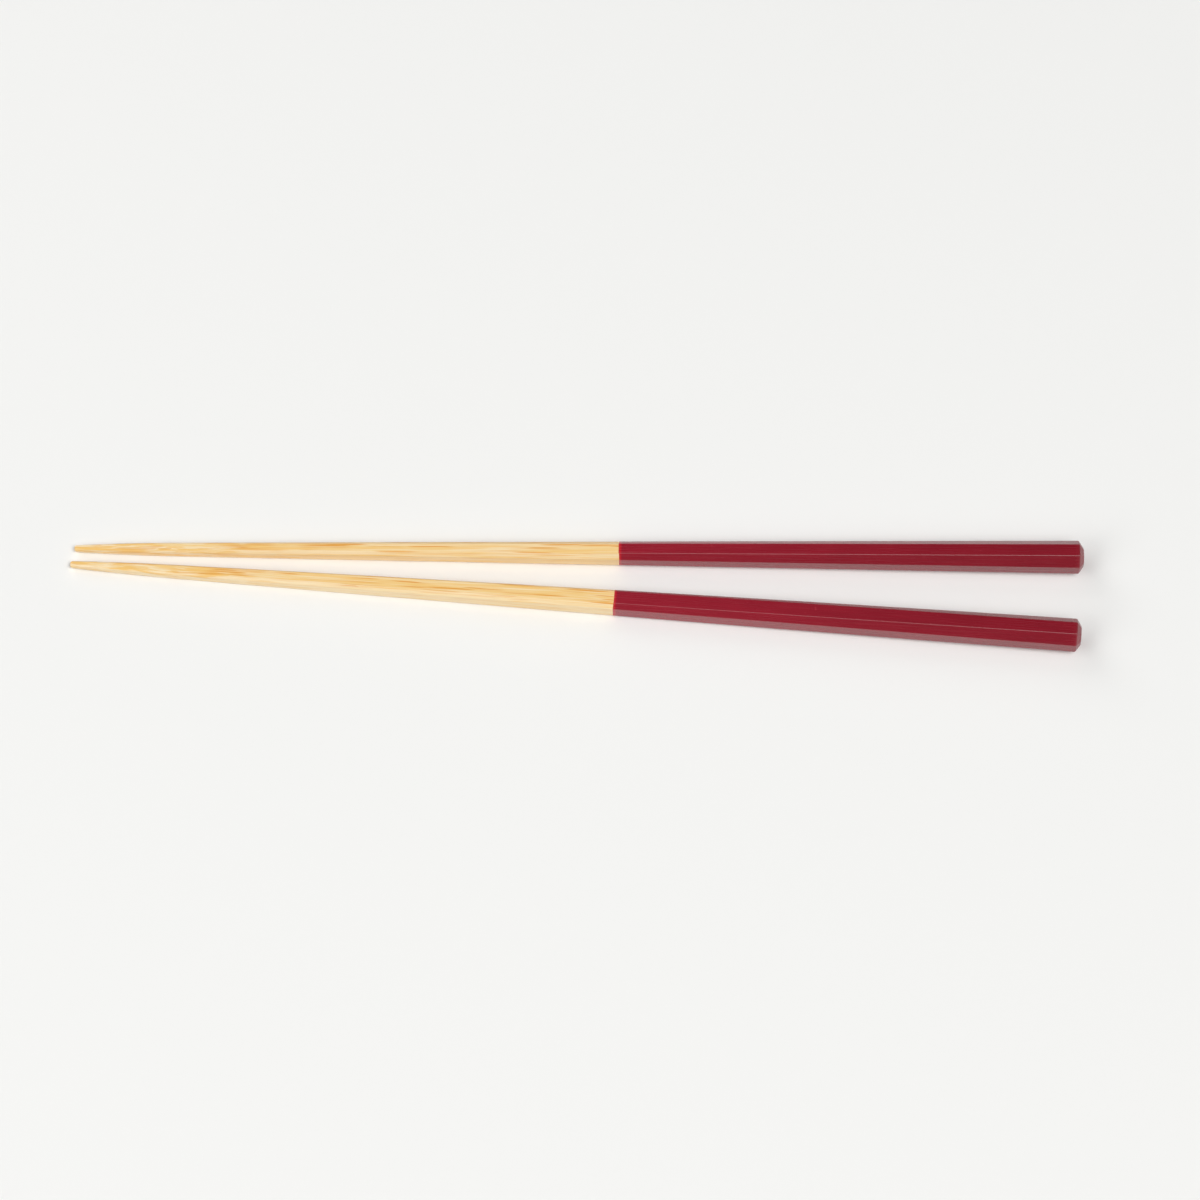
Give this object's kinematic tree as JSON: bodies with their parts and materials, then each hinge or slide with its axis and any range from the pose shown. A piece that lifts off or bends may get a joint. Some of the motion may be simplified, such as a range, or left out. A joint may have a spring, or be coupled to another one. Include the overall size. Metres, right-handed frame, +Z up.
{
  "type": "pair of chopsticks",
  "caption": "Slender tapered bamboo chopsticks with faceted octagonal shafts, bare points and glossy red dipped handles, for picking up food.",
  "frame": {"origin": "on the table under the middle of the pair", "axes": "+X from the points to the butts, halfway between the two sticks' directions; +Y towards the far stick; +Z up from the table"},
  "size_m": [0.2305, 0.027, 0.007],
  "materials": {
    "bamboo": "satin",
    "red_lacquer": "gloss"
  },
  "bodies": {
    "root": {"far_chopstick": "bamboo", "near_chopstick": "bamboo"}
  },
  "joints": []
}
